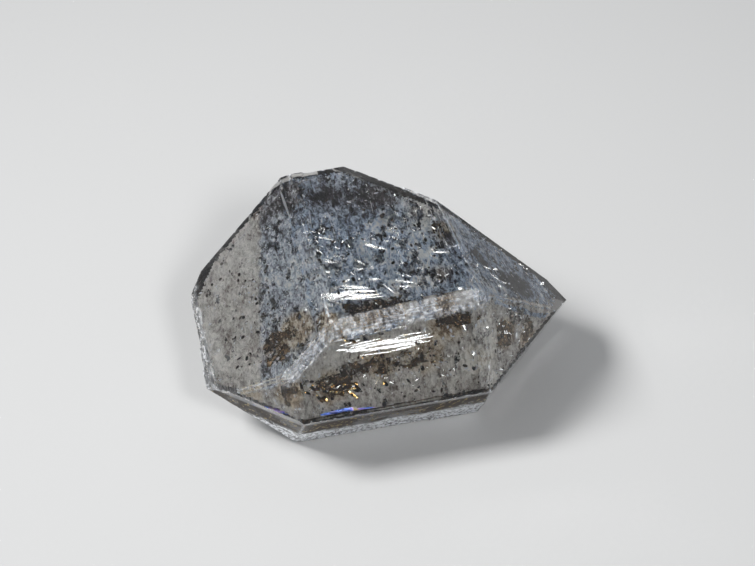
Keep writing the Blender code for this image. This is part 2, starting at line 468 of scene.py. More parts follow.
# Clouds on the veils: middle, radius, and what is added there to how dark and how tan the veil is. The
# darker clouds are painted shade for the dark ground seen through the crystal.
CLOUDS = (
    ((-0.5, 3.0, 6.7), 1.7, 0.9, 0.2),
    ((-2.0, -0.8, 6.5), 0.8, -0.5, 0.0),
    ((0.4, 0.7, 6.6), 0.8, -0.6, 0.0),
    ((1.5, -2.5, 6.6), 0.7, -0.7, 0.0),
    ((-3.3, -0.3, 6.2), 0.7, -0.4, 0.0),
    ((-0.9, -1.8, 6.5), 0.4, 0.7, 0.1),
    ((0.9, -1.8, 6.5), 0.4, 0.8, 0.1),
    ((-1.6, -0.1, 6.5), 0.4, 0.7, 0.0),
    ((0.2, 1.5, 6.6), 0.5, 0.7, 0.0),
    ((1.3, 0.4, 6.6), 0.4, 0.7, 0.2),
    ((-3.3, -1.7, 6.0), 0.4, 0.7, 0.1),
    ((2.0, 0.4, 6.7), 0.6, -0.5, 0.3),
    ((-0.3, -1.1, 6.5), 0.5, -0.5, 0.1),
    ((-2.2, 3.3, 6.6), 1.5, 0.8, 0.1),
    ((1.0, 2.5, 6.7), 1.2, 0.6, 0.3),
    ((-3.5, 3.8, 6.0), 1.4, 0.9, 0.1),
    ((-2.6, 0.9, 6.6), 0.5, 0.4, 0.0),
    ((-1.6, 1.2, 6.6), 0.5, 0.6, 0.0),
    ((2.6, 1.4, 6.7), 1.2, -0.3, 0.6),
    ((2.8, -0.2, 6.7), 0.6, 0.2, 0.9),
    ((2.9, -0.9, 6.7), 0.6, 1.0, 0.3),
    ((1.9, -0.9, 6.6), 0.9, -0.4, 0.0),
    ((0.4, -3.0, 6.5), 0.7, -0.8, 0.1),
    ((3.2, -3.5, 6.6), 0.6, -0.6, 0.0),
    ((1.9, -3.8, 6.5), 0.5, 0.8, 0.2),
    ((2.2, -2.6, 6.6), 0.6, 0.5, 0.6),
    ((-0.9, -3.9, 6.4), 0.8, 1.0, 0.9),
    ((-0.1, -3.8, 6.5), 0.6, 0.9, 0.9),
    ((-1.7, -3.9, 6.4), 0.6, 0.9, 0.8),
    ((-2.9, -4.0, 6.3), 0.7, 0.6, 1.0),
    ((-4.1, -3.4, 5.4), 1.1, 0.4, 0.9),
    ((-5.0, -3.4, 4.7), 0.8, 0.5, 0.6),
    ((4.0, -1.5, 5.8), 0.6, 0.9, 0.0),
    ((5.0, -2.3, 5.0), 0.8, 1.3, 0.1),
    ((5.7, -2.2, 4.5), 0.8, 1.3, 0.1),
    ((6.3, 1.2, 3.9), 0.7, -0.7, 0.5),
    ((6.9, 0.2, 3.5), 0.7, -0.8, 0.5),
    ((5.2, 2.2, 4.6), 0.7, -0.5, 0.6),
    ((4.6, -3.1, 5.4), 0.5, -0.7, 0.2),
    ((3.9, -3.3, 6.0), 0.5, -0.7, 0.2),
    ((2.0, -4.7, 6.0), 0.9, 0.6, 0.9),
    ((-0.6, -5.0, 5.6), 1.2, -0.5, 0.0),
    ((-1.0, -5.3, 5.0), 0.9, 0.5, 0.9),
    ((0.8, -5.3, 4.9), 0.9, 0.5, 0.9),
    ((-3.3, -5.7, 4.3), 0.8, 0.7, 1.0),
    ((3.0, -5.6, 4.4), 0.7, -0.6, 0.2),
    ((4.4, -4.6, 4.6), 0.7, 0.5, 0.8),
    ((5.5, -4.1, 3.5), 0.6, 0.5, 1.0),
    ((-5.0, -5.6, 4.3), 0.6, 0.5, 1.0),
)
# At the blunt end, beyond this plane, the veils are evenly milky: its outward direction and its distance.
# Then how much darker and how much tanner the veils are there, and how milky at least. This lighter, milky
# end is painted reflection, for the frosted blunt base that the quartz throws back inside.
MILKY_END = (Vector((-0.98, 0.20, 0.0)), 4.81)
MILKY_LOOK = (-0.20, 0.36, 0.50)
MESH_WIDTH = 0.11
MARGIN = 0.22  # mm of clear quartz that stay between any film and the nearest face
APART = 7.3  # steps the noise on between one film of a piece and the next


def wavy_film(face, near, depth, length, width, wave, seed):
    """Corners, fades and faces of a wavy film under a crystal face, cut back to stay inside the crystal."""
    outward, distance = face
    middle = Vector(near) + outward * (distance - depth - outward.dot(Vector(near)))
    along = (Vector((1, 0, 0)) - outward.x * outward).normalized()
    across = outward.cross(along)
    columns = int(length / MESH_WIDTH)
    lines = int(width / MESH_WIDTH)
    corners = []
    fades = []
    for line in range(lines + 1):
        for column in range(columns + 1):
            u = length * (column / columns - 0.5)
            v = width * (line / lines - 0.5)
            spot = middle + along * u + across * v
            spot += outward * wave * noise.fractal(spot / 1.7 + Vector((seed, 0, 0)), 0.8, 2.0, 2)
            corners.append(spot)
            reach = (abs(2 * u / length) ** 3 + abs(2 * v / width) ** 3) ** (1 / 3)
            reach += 0.30 * noise.fractal(spot / 0.7 + Vector((0, seed, 0)), 0.8, 2.0, 3)
            fades.append(max(0.0, min(1.0, 4.0 * (1.0 - reach))))
    keep = inside(np.array(corners), MARGIN) & (np.array(fades) > 0)
    faces = []
    for line in range(lines):
        for column in range(columns):
            first = line * (columns + 1) + column
            face = (first, first + 1, first + columns + 2, first + columns + 1)
            if all(keep[at] for at in face):
                faces.append(face)
    return corners, fades, faces


def clouded(spot, dark, tan, milk):
    """How dark, tan and milky a veil is at a place, with the clouds near it added."""
    wander = Vector(noise.turbulence_vector(spot / 0.35, 2, False)) * 0.16
    for middle, radius, darker, tanner in CLOUDS:
        reach = (spot + wander - Vector(middle)).length / radius
        if reach < 1.4:
            share = math.exp(-2.0 * reach ** 4)
            dark += darker * share
            tan += tanner * share
    outward, distance = MILKY_END
    darker, tanner, milkier = MILKY_LOOK
    share = max(0.0, min(1.0, (outward.dot(spot + wander) - distance) / 0.15))
    return dark + darker * share, max(0.0, min(1.0, tan + tanner * share)), max(milk, milkier * share)


def made_solid(piece):
    """Turns what the modifiers make into the piece's own mesh."""
    bpy.context.view_layer.update()
    graph = bpy.context.evaluated_depsgraph_get()
    shown = piece.evaluated_get(graph)
    piece.data = bpy.data.meshes.new_from_object(shown, preserve_all_data_layers=True, depsgraph=graph)
    piece.modifiers.clear()


def as_piece(body, name):
    """Puts a finished mesh into the scene as an object of this name."""
    data = bpy.data.meshes.new(name)
    body.to_mesh(data)
    body.free()
    piece = bpy.data.objects.new(name, data)
    bpy.context.scene.collection.objects.link(piece)
    return piece


def films(name, table, thickness, seed):
    """One object that holds all the films of a kind, each a closed sheet of the given thickness."""
    body = bmesh.new()
    layers = {label: body.verts.layers.float.new(label) for label in ("fade", "dark", "tan", "milk")}
    for number, row in enumerate(table):
        corners, fades, faces = wavy_film(*row[:6], seed + APART * number)
        used = sorted({at for face in faces for at in face})
        made = {}
        for at in used:
            made[at] = body.verts.new(corners[at] * MM)
            dark, tan, milk = clouded(corners[at], row[7], row[6], row[8])
            values = {"fade": fades[at], "dark": dark, "tan": tan, "milk": milk}
            for label, value in values.items():
                made[at][layers[label]] = value
        for face in faces:
            body.faces.new([made[at] for at in face])
    piece = as_piece(body, name)
    piece.data.polygons.foreach_set("use_smooth", [True] * len(piece.data.polygons))
    walls = piece.modifiers.new("thickness", "SOLIDIFY")
    walls.thickness = thickness * MM
    walls.offset = 0.0
    made_solid(piece)
    return piece


veils = films("veils", VEILS, 0.008, 40.0)
lace, paint = new_material("cloudy_veil")
place = paint.place()
fade, dark, tan, milk = [paint.attribute(label) for label in ("fade", "dark", "tan", "milk")]
stretched = paint.add("ShaderNodeMapping", {}, {"Vector": place, "Scale": (1.0, 0.55, 0.7)})[0]
threads = paint.noise(stretched, 6000.0, 4.0, 0.75, 0.8)
shards = paint.add("ShaderNodeTexVoronoi", {}, {"Vector": stretched, "Scale": 8500.0, "Detail": 1.0})[1]
patches = paint.noise(stretched, 1700.0, 4.0, 0.6)
clouds = paint.noise(place, 420.0, 2.0)
grains = paint.noise(place, 16000.0, 2.0)
mottled = threads * 0.44 + shards * 0.09 + patches * 0.30 + clouds * 0.10 + grains * 0.07 - 0.5
tone = 0.512 + mottled * (1.42 - milk * 0.9) + milk * 0.050 - dark * 0.11
cool = paint.ramp(
    tone,
    (0.40, (0.006, 0.006, 0.008, 1)),
    (0.46, (0.050, 0.066, 0.100, 1)),
    (0.52, (0.240, 0.330, 0.480, 1)),
    (0.59, (0.560, 0.700, 0.880, 1)),
    (0.68, (0.980, 0.990, 1.000, 1)),
)
oily = paint.ramp(
    tone,
    (0.40, (0.010, 0.006, 0.004, 1)),
    (0.46, (0.110, 0.068, 0.036, 1)),
    (0.52, (0.350, 0.265, 0.175, 1)),
    (0.58, (0.660, 0.580, 0.460, 1)),
    (0.68, (0.980, 0.950, 0.890, 1)),
)
tint = paint.mix(tan, cool, oily)
holes = paint.noise(stretched, 2600.0, 4.0, 0.6)
cover = (holes * 0.8 + threads * 0.2 + fade * 0.20 - 0.20 + milk * 0.14 + dark * 0.06).between(0.405, 0.450)
dents = paint.dents(1.0, 0.00010, threads)
gas = paint.surface(
    {
        "Base Color": tint,
        "Metallic": tone.between(0.60, 0.70) * (1.0 - milk) * 0.25,
        "Roughness": 0.32,
        "Alpha": cover,
        "Normal": dents,
    }
)
paint.output(Surface=gas)
veils.data.materials.clear()
veils.data.materials.append(lace)
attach(veils, "root")

# The bright slivers
# Long, thin gaps that stayed open inside the crystal, sealed in side by side like the leaves of a fan. Their
# flat walls throw the light back, so they shine white, a few with a thin rim of rainbow colours.
# Under the top face: x and y of both ends in mm, and the half width.
UPPER_FAN = (
    (-3.70, -2.80, -2.90, -3.00, 0.20),
    (-3.60, -3.00, -2.70, -3.10, 0.14),
    (-3.40, -2.70, -2.60, -2.90, 0.10),
    (-2.80, -2.75, -1.80, -3.00, 0.15),
    (-2.90, -2.45, -1.90, -2.50, 0.12),
    (-2.05, -2.25, -0.70, -2.75, 0.04),
    (-2.10, -2.40, -0.90, -2.70, 0.03),
    (-2.00, -2.60, -0.60, -2.95, 0.06),
    (-2.10, -2.80, -0.80, -3.10, 0.04),
    (-1.85, -3.10, -0.40, -3.30, 0.03),
    (-2.20, -3.00, -0.50, -3.15, 0.05),
    (-3.10, -3.05, -1.60, -3.25, 0.06),
    (-2.80, -2.60, -1.40, -2.85, 0.08),
    (-1.90, -2.10, -1.60, -2.00, 0.05),
    (-0.80, -2.20, -0.30, -2.35, 0.05),
    (-0.30, -2.60, 0.35, -3.70, 0.03),
    (-2.90, 1.10, -2.25, 0.60, 0.04),
    (-2.50, 0.80, -1.80, 0.40, 0.03),
    (-0.55, -0.15, 0.00, -0.60, 0.07),
    (-0.20, -0.40, 0.35, -0.75, 0.04),
    (-2.40, -0.70, -1.90, -0.95, 0.03),
    (-1.15, -0.90, -0.75, -1.40, 0.04),
    (-1.30, -1.50, -0.80, -1.60, 0.05),
    (2.20, -1.40, 2.90, -1.60, 0.04),
    (2.70, -3.60, 3.00, -4.00, 0.06),
    (3.50, -3.60, 3.80, -3.40, 0.05),
    (4.20, -2.90, 4.60, -2.80, 0.09),
    (0.20, -2.50, 1.00, -2.90, 0.04),
    (0.30, -2.90, 0.90, -3.10, 0.03),
    (-3.20, -1.60, -2.90, -1.10, 0.02),
)
# Under the upper front face: x and z of both ends in mm, and the half width.
FRONT_FAN = (
    (-2.50, 5.55, -0.20, 5.75, 0.043),
    (-2.30, 5.50, 0.20, 5.45, 0.037),
    (-1.60, 5.65, 0.75, 5.70, 0.031),
    (-2.50, 5.80, -0.95, 5.95, 0.025),
    (-1.20, 5.40, 1.15, 5.40, 0.037),
    (-0.95, 5.60, 1.30, 5.60, 0.031),
    (-1.90, 5.25, -0.60, 5.20, 0.025),
    (-0.60, 5.20, 0.50, 5.30, 0.031),
    (-2.70, 5.90, -1.80, 6.05, 0.025),
    (-0.30, 5.90, 1.00, 5.90, 0.019),
    (-2.30, 5.70, -1.20, 5.80, 0.031),
    (-0.10, 5.65, 1.20, 5.75, 0.037),
    (-1.70, 5.35, -0.10, 5.50, 0.019),
    (-0.40, 5.50, 0.90, 5.50, 0.019),
    (-1.30, 5.75, 0.10, 5.85, 0.019),
    (-2.90, 5.70, -2.20, 5.65, 0.037),
    (-2.50, 6.42, -0.20, 6.50, 0.012),
    (-2.20, 6.25, 0.20, 6.35, 0.012),
    (2.85, 4.50, 3.05, 4.25, 0.093),
    (3.00, 3.80, 3.15, 3.50, 0.050),
    (3.10, 3.40, 3.20, 3.15, 0.037),
    (2.60, 6.00, 2.70, 5.60, 0.037),
    (4.40, 5.00, 4.80, 5.30, 0.031),
)
# The ways a flat gap faces, under each crystal face, when it throws the light back.
TOP_GLINT = (-0.01, -0.45, 0.89)
BLUNT_TOP_GLINT = (-0.27, -0.44, 0.85)
POINT_TOP_GLINT = (0.33, -0.42, 0.85)
FRONT_GLINT = (0.01, -0.75, 0.66)
POINT_FRONT_GLINT = (0.27, -0.72, 0.64)
# Short gaps scattered between: the face above, the way they face, middle, spread, how many and half width.
FLECKS = (
    (TOP, TOP_GLINT, (0.0, -0.8, 6.6), (1.9, 1.5, 0.0), 100, 0.035),
    (TOP, TOP_GLINT, (-3.3, -2.85, 6.2), (0.30, 0.12, 0.0), 24, 0.080),
    (BLUNT_TOP, BLUNT_TOP_GLINT, (-3.4, -2.85, 6.0), (0.30, 0.12, 0.1), 24, 0.080),
    (TOP, TOP_GLINT, (-2.4, 0.2, 6.6), (0.6, 0.8, 0.0), 24, 0.035),
    (POINT_TOP, POINT_TOP_GLINT, (4.1, -2.8, 5.8), (0.4, 0.6, 0.4), 16, 0.075),
    (POINT_TOP, POINT_TOP_GLINT, (5.2, -0.4, 4.8), (0.9, 1.2, 0.9), 24, 0.030),
    (POINT_TOP, POINT_TOP_GLINT, (6.9, -0.9, 3.4), (0.15, 0.5, 0.15), 5, 0.080),
    (POINT_FRONT, POINT_FRONT_GLINT, (4.6, -4.5, 4.4), (0.7, 0.5, 0.8), 30, 0.035),
    (UPPER_FRONT, FRONT_GLINT, (0.0, -5.6, 4.4), (2.4, 0.0, 0.7), 50, 0.025),
    (BLUNT_TOP, BLUNT_TOP_GLINT, (-4.4, -0.8, 5.2), (0.5, 2.2, 0.5), 40, 0.025),
    (BLUNT_TOP, BLUNT_TOP_GLINT, (-6.6, -0.8, 3.8), (0.5, 1.8, 0.5), 24, 0.020),
)


HEART = Vector((0, -0.4, 3.4))
BLADE_PARTS = 8
FULLNESS = 1.2  # makes up for the width that the taper takes off a blade


def sunk(place, face, depth):
    """The place moved square to a face to the given depth, then inwards until no other face is nearer."""
    outward, distance = face
    place = place + outward * (distance - depth - outward.dot(place))
    while not inside(np.array([place]), depth - 0.01)[0]:
        place = place.lerp(HEART, 0.03)
    return place


def add_blade(body, start, end, half_width, facing, bow):
    """Adds the middle line of a blade, with its half width and the way it faces at each point."""
    previous = None
    for part in range(BLADE_PARTS + 1):
        share = part / BLADE_PARTS
        taper = math.sin(math.pi * min(1.0, 0.08 + 0.84 * share)) ** 0.7
        spot = start.lerp(end, share) + facing * bow * math.sin(math.pi * share)
        corner = body.verts.new(spot * MM)
        corner[body.verts.layers.float["half_width"]] = half_width * FULLNESS * taper * MM
        corner[body.verts.layers.float_vector["facing"]] = facing
        if previous:
            body.edges.new((previous, corner))
        previous = corner


def blade_lines():
    """An empty mesh for the middle lines of blades."""
    body = bmesh.new()
    body.verts.layers.float.new("half_width")
    body.verts.layers.float_vector.new("facing")
    return body


chance = np.random.default_rng(11)
body = blade_lines()
for x0, y0, x1, y1, half_width in UPPER_FAN:
    face, towards = (TOP, TOP_GLINT) if x0 > -2.85 else (BLUNT_TOP, BLUNT_TOP_GLINT)
    start = sunk(Vector((x0, y0, 6.2)), face, 0.46)
    end = sunk(Vector((x1, y1, 6.2)), face, 0.42)
    facing = (Vector(towards) + Vector(chance.uniform(-0.025, 0.025, 3))).normalized()
    end -= facing * facing.dot(end - start)
    add_blade(body, start, end, half_width, facing, chance.uniform(-0.03, 0.03))
for x0, z0, x1, z1, half_width in FRONT_FAN:
    start = sunk(Vector((x0, -5, z0)), UPPER_FRONT, 0.60)
    end = sunk(Vector((x1, -5, z1)), UPPER_FRONT, 0.50)
    facing = (Vector(FRONT_GLINT) + Vector(chance.uniform(-0.025, 0.025, 3))).normalized()
    end -= facing * facing.dot(end - start)
    add_blade(body, start, end, half_width, facing, chance.uniform(-0.03, 0.03))
for face, towards, middle, spread, count, widest in FLECKS:
    for number in range(count):
        spot = Vector(middle) + Vector(chance.normal(0, 1, 3) * spread)
        start = sunk(spot, face, 0.30 + chance.uniform(0, 0.15))
        facing = (Vector(towards) + Vector(chance.uniform(-0.09, 0.09, 3))).normalized()
        line = Vector((chance.uniform(-0.3, 1.0), chance.uniform(-0.9, 0.5), chance.uniform(-0.5, 0.5)))
        end = start + line * widest * 7
        end -= facing * facing.dot(end - start)
        add_blade(body, start, end, widest * chance.uniform(0.4, 1.0), facing, 0.0)
slivers = as_piece(body, "slivers")

silver, paint = new_material("bright_gap")
place = paint.place()
fine = paint.noise(place, 9000.0, 3.0)
bands = paint.noise(place, 1800.0, 1.0)
rainbow = paint.ramp(
    bands,
    (0.00, (0.97, 0.98, 1.0, 1)),
    (0.66, (0.98, 0.98, 0.98, 1)),
    (0.70, (0.98, 0.90, 0.70, 1)),
    (0.74, (0.86, 0.80, 0.98, 1)),
    (0.80, (0.97, 0.98, 1.0, 1)),
)
dents = paint.dents(0.6, 0.00001, fine)
gap = paint.surface(
    {"Base Color": rainbow, "Metallic": 0.9, "Roughness": 0.22 + fine * 0.10, "Normal": dents}
)
paint.output(Surface=gap)


def node_group(name, inputs):
    """A geometry tree that takes a mesh and the named values, each given as its kind and its default."""
    tree = bpy.data.node_groups.new(name, "GeometryNodeTree")
    tree.interface.new_socket("Geometry", in_out="INPUT", socket_type="NodeSocketGeometry")
    for label, (kind, default) in inputs.items():
        socket = tree.interface.new_socket(label, in_out="INPUT", socket_type=kind)
        if default is not None:
            socket.default_value = default
    tree.interface.new_socket("Geometry", in_out="OUTPUT", socket_type="NodeSocketGeometry")
    graph = Graph(tree)
    given = graph.add("NodeGroupInput")
    return tree, graph, dict(zip(["Geometry", *inputs], given))


def grow(piece, tree, values):
    """Runs a geometry tree on the piece, with values for its named inputs, and keeps what it makes."""
    modifier = piece.modifiers.new(tree.name, "NODES")
    modifier.node_group = tree
    for item in tree.interface.items_tree:
        if item.in_out == "INPUT" and item.name in values:
            modifier[item.identifier] = values[item.name]
    made_solid(piece)


blades, graph, given = node_group(
    "blades", {"Thickness": ("NodeSocketFloat", 0.2), "Finish": ("NodeSocketMaterial", None)}
)
curve = graph.add("GeometryNodeMeshToCurve", {}, {"Mesh": given["Geometry"]})[0]
facing = graph.add("GeometryNodeInputNamedAttribute", {"data_type": "FLOAT_VECTOR"}, {"Name": "facing"})[0]
half_width = graph.add("GeometryNodeInputNamedAttribute", {"data_type": "FLOAT"}, {"Name": "half_width"})[0]
curve = graph.add("GeometryNodeSetCurveNormal", {"mode": "FREE"}, {"Curve": curve, "Normal": facing})[0]
ring = graph.add("GeometryNodeCurvePrimitiveCircle", {"mode": "RADIUS"}, {"Resolution": 6, "Radius": 1.0})[0]
squeeze = graph.add("ShaderNodeCombineXYZ", {}, {"X": given["Thickness"], "Y": 1.0, "Z": 1.0})[0]
ring = graph.add("GeometryNodeTransform", {}, {"Geometry": ring, "Scale": squeeze})[0]
swept = graph.add(
    "GeometryNodeCurveToMesh",
    {},
    {"Curve": curve, "Profile Curve": ring, "Scale": half_width, "Fill Caps": True},
)[0]
swept = graph.add("GeometryNodeRealizeInstances", {}, {"Geometry": swept})[0]
swept = graph.add("GeometryNodeSetShadeSmooth", {}, {"Geometry": swept, "Shade Smooth": False})[0]
done = graph.add("GeometryNodeSetMaterial", {}, {"Geometry": swept, "Material": given["Finish"]})[0]
graph.add("NodeGroupOutput", {}, {0: done})
grow(slivers, blades, {"Thickness": 0.05, "Finish": silver})
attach(slivers, "root")

# The oil films
# Petroleum caught in healed cracks as thin films and blots, sealed in by the quartz. It is dark brown where
# it is thick and golden where it is thin and glints. The table has the same columns as the veils' own.
OIL_FILMS = (
    (UPPER_FRONT, (-0.8, -5.05, 4.65), 0.55, 5.4, 0.9, 0.05, 1.0, 0.6, 0.0),
    (UPPER_FRONT, (-3.2, -5.4, 4.2), 0.55, 2.2, 1.2, 0.05, 1.0, 0.8, 0.0),
    (BLUNT_FRONT, (-4.9, -5.4, 4.2), 0.35, 0.8, 1.6, 0.03, 1.0, 0.6, 0.0),
    (BLUNT_TOP, (-4.8, -3.6, 4.6), 0.38, 2.2, 1.8, 0.03, 1.0, 0.3, 0.0),
    (UPPER_FRONT, (2.3, -4.4, 5.9), 0.50, 2.6, 0.8, 0.04, 1.0, 0.3, 0.0),
    (POINT_FRONT, (5.4, -4.2, 3.4), 0.40, 1.2, 2.4, 0.03, 1.0, 0.4, 0.0),
    (POINT_FRONT, (4.3, -4.6, 4.6), 0.40, 1.6, 1.4, 0.03, 1.0, 0.2, 0.0),
    (TOP, (-1.0, -3.75, 6.4), 0.45, 3.4, 0.9, 0.03, 1.0, 0.9, 0.0),
    (TOP, (2.8, -0.1, 6.7), 0.45, 0.9, 1.0, 0.03, 1.0, 0.0, 0.0),
    (LOWER_FRONT, (0.0, -6.1, 2.7), 0.28, 8.8, 0.6, 0.02, 1.0, 0.5, 0.0),
)
oil = films("oil_films", OIL_FILMS, 0.008, 90.0)
brown, paint = new_material("oil_film")
place = paint.place()
fade, dark = [paint.attribute(label) for label in ("fade", "dark")]
blots = paint.noise(place, 2600.0, 4.0, 0.6)
grains = paint.noise(place, 9000.0, 3.0)
clouds = paint.noise(place, 900.0, 2.0)
thick = paint.ramp(
    blots * 0.5 + grains * 0.5 - dark * 0.04,
    (0.36, (0.008, 0.005, 0.004, 1)),
    (0.50, (0.055, 0.032, 0.016, 1)),
    (0.58, (0.230, 0.150, 0.080, 1)),
    (0.66, (0.600, 0.440, 0.240, 1)),
)
cover = (blots * 0.5 + clouds * 0.3 + grains * 0.2 + fade * 0.16 - 0.16).between(0.46, 0.52) * 0.95
dents = paint.dents(1.0, 0.00003, blots)
film = paint.surface(
    {
        "Base Color": thick,
        "Metallic": grains.between(0.50, 0.62) * 0.7,
        "Roughness": 0.25,
        "Alpha": cover,
        "Normal": dents,
    }
)
paint.output(Surface=film)
oil.data.materials.clear()
oil.data.materials.append(brown)
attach(oil, "root")

# The golden leaves
# Blots of oil sealed in flat, leaf-shaped pockets that lie tilted side by side, gold where they catch light.
# Each group: its middle, its spread along x and z, how many, their length in mm, and the way they slant.
LEAF_GROUPS = (
    ((-3.2, -5.45, 4.25), (0.75, 0.26), 44, 0.42, (0.80, -0.30, -0.60)),
    ((-2.9, -4.3, 6.1), (0.40, 0.20), 16, 0.26, (0.7, -0.2, -0.6)),
    ((-4.8, -5.2, 4.1), (0.15, 0.45), 16, 0.30, (0.3, -0.6, -0.8)),
    ((-2.3, -5.75, 2.5), (1.5, 0.10), 16, 0.16, (1.0, 0.0, -0.1)),
    ((4.8, -4.3, 3.6), (0.4, 0.6), 14, 0.18, (0.5, 0.6, 0.7)),
    ((-4.7, -3.7, 4.8), (0.5, 0.5), 14, 0.14, (0.6, 0.3, -0.2)),
    ((1.9, -4.9, 4.9), (1.6, 0.5), 24, 0.12, (0.9, 0.0, 0.3)),
)
chance = np.random.default_rng(23)
body = blade_lines()
for middle, (along_x, along_z), count, length, slant in LEAF_GROUPS:
    for number in range(count):
        spot = Vector(middle) + Vector((chance.normal(0, along_x), 0, chance.normal(0, along_z)))
        spot = sunk(spot, UPPER_FRONT if spot.z > 3.2 else LOWER_FRONT, 0.45 + chance.uniform(0, 0.5))
        line = Vector(slant).normalized() + Vector(chance.uniform(-0.35, 0.35, 3))
        line = line * length * chance.uniform(0.5, 1.5)
        facing = (Vector(FRONT_GLINT) + Vector(chance.uniform(-0.25, 0.25, 3))).normalized()
        line -= facing * line.dot(facing)
        add_blade(body, spot, spot + line, length * chance.uniform(0.12, 0.30), facing, 0.0)
leaves = as_piece(body, "golden_leaves")
golden, paint = new_material("golden_oil")
place = paint.place()
blots = paint.noise(place, 3200.0, 2.0)
fine = paint.noise(place, 12000.0, 2.0)
depth = paint.ramp(
    blots,
    (0.40, (0.010, 0.006, 0.004, 1)),
    (0.52, (0.080, 0.040, 0.014, 1)),
    (0.58, (0.500, 0.290, 0.080, 1)),
    (0.64, (0.950, 0.820, 0.500, 1)),
)
dents = paint.dents(0.8, 0.00001, fine)
drop = paint.surface(
    {"Base Color": depth, "Metallic": blots.between(0.45, 0.6) * 0.9, "Roughness": 0.22, "Normal": dents}
)
paint.output(Surface=drop)
grow(leaves, blades, {"Thickness": 0.20, "Finish": golden})
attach(leaves, "root")

# The bitumen specks
# Grains of black, solid bitumen, sealed in the quartz one by one and gathered along the healed cracks. They
# are scattered on these sheets: the face above, then middle, depth, length, width and wave in mm.
SPECK_SHEETS = (
    (TOP, (0.0, 0.0, 6.8), 0.45, 9.0, 8.0, 0.15),
    (BLUNT_TOP, (-5.6, -0.8, 4.6), 0.34, 4.0, 7.0, 0.05),
    (UPPER_FRONT, (-0.9, -5.05, 4.6), 0.50, 5.0, 0.8, 0.05),
    (UPPER_FRONT, (-2.6, -5.4, 4.1), 0.50, 3.4, 1.6, 0.05),
    (POINT_FRONT, (4.6, -4.2, 4.2), 0.40, 3.2, 3.0, 0.05),
    (UPPER_FRONT, (0.0, -5.6, 4.2), 0.60, 8.4, 3.0, 0.05),
    (TOP, (-1.0, -3.8, 6.4), 0.40, 3.4, 0.9, 0.05),
)
scatter, graph, given = node_group(
    "grains_on_a_sheet",
    {
        "Per square millimetre": ("NodeSocketFloat", 8.0),
        "Smallest": ("NodeSocketFloat", 0.02),
        "Largest": ("NodeSocketFloat", 0.08),
        "Flatness": ("NodeSocketFloat", 0.7),
        "Stretch": ("NodeSocketFloat", 1.5),
        "Tilt": ("NodeSocketFloat", 3.0),
        "Raggedness": ("NodeSocketFloat", 0.02),
        "Seed": ("NodeSocketInt", 1),
        "Finish": ("NodeSocketMaterial", None),
    },
)
density = given["Per square millimetre"] * 1e6
spread = graph.add(
    "GeometryNodeDistributePointsOnFaces",
    {"distribute_method": "RANDOM"},
    {"Mesh": given["Geometry"], "Density": density, "Seed": given["Seed"]},
)
size_seed = given["Seed"] + 1.0
turn_seed = given["Seed"] + 2.0
share = graph.add("FunctionNodeRandomValue", {"data_type": "FLOAT"}, {2: 0.0, 3: 1.0, "Seed": size_seed})[0]
size = (given["Smallest"] + (given["Largest"] - given["Smallest"]) * share ** 3) * MM
scale = graph.add(
    "ShaderNodeCombineXYZ", {}, {"X": size * given["Stretch"], "Y": size, "Z": size * given["Flatness"]}
)[0]
widest = graph.add("ShaderNodeCombineXYZ", {}, {"X": given["Tilt"], "Y": given["Tilt"], "Z": 3.2})[0]
least = graph.add("ShaderNodeVectorMath", {"operation": "SCALE"}, {0: widest, 3: -1.0})[0]
turn = graph.add(
    "FunctionNodeRandomValue", {"data_type": "FLOAT_VECTOR"}, {0: least, 1: widest, "Seed": turn_seed}
)[0]
turn = graph.add("FunctionNodeEulerToRotation", {}, {"Euler": turn})[0]
turn = graph.add(
    "FunctionNodeRotateRotation", {"rotation_space": "LOCAL"}, {"Rotation": spread[2], "Rotate By": turn}
)[0]
ball = graph.add("GeometryNodeMeshIcoSphere", {}, {"Radius": 1.0, "Subdivisions": 1})[0]
placed = graph.add(
    "GeometryNodeInstanceOnPoints",
    {},
    {"Points": spread[0], "Instance": ball, "Rotation": turn, "Scale": scale},
)[0]
real = graph.add("GeometryNodeRealizeInstances", {}, {"Geometry": placed})[0]
place = graph.add("GeometryNodeInputPosition")[0]
rough = graph.add("ShaderNodeTexNoise", {}, {"Vector": place, "Scale": 14000.0, "Detail": 1.0})[1]
rough = graph.add("ShaderNodeVectorMath", {"operation": "SUBTRACT"}, {0: rough, 1: (0.5, 0.5, 0.5)})[0]
rough = graph.add("ShaderNodeVectorMath", {"operation": "SCALE"}, {0: rough, 3: given["Raggedness"] * MM})[0]
real = graph.add("GeometryNodeSetPosition", {}, {"Geometry": real, "Offset": rough})[0]
done = graph.add("GeometryNodeSetMaterial", {}, {"Geometry": real, "Material": given["Finish"]})[0]
graph.add("NodeGroupOutput", {}, {0: done})


def bare_sheets(name, table, seed):
    """The films of a table as one object with no thickness, for grains to be scattered on."""
    body = bmesh.new()
    for number, film in enumerate(table):
        corners, fades, faces = wavy_film(*film[:6], seed + APART * number)
        made = {at: body.verts.new(corners[at] * MM) for at in sorted({at for face in faces for at in face})}
        for face in faces:
            body.faces.new([made[at] for at in face])
    return as_piece(body, name)


black, paint = new_material("bitumen")
place = paint.place()
fine = paint.noise(place, 8000.0, 2.0)
shade = paint.mix(fine.between(0.4, 0.7), (0.008, 0.006, 0.005, 1), (0.05, 0.03, 0.02, 1))
tar = paint.surface({"Base Color": shade, "Roughness": 0.3 + fine * 0.3})
paint.output(Surface=tar)
specks = bare_sheets("bitumen_specks", SPECK_SHEETS, 60.0)
grow(
    specks,
    scatter,
    {
        "Per square millimetre": 6.0,
        "Smallest": 0.012,
        "Largest": 0.100,
        "Flatness": 0.6,
        "Tilt": 3.0,
        "Raggedness": 0.04,
        "Seed": 5,
        "Finish": black,
    },
)
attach(specks, "root")

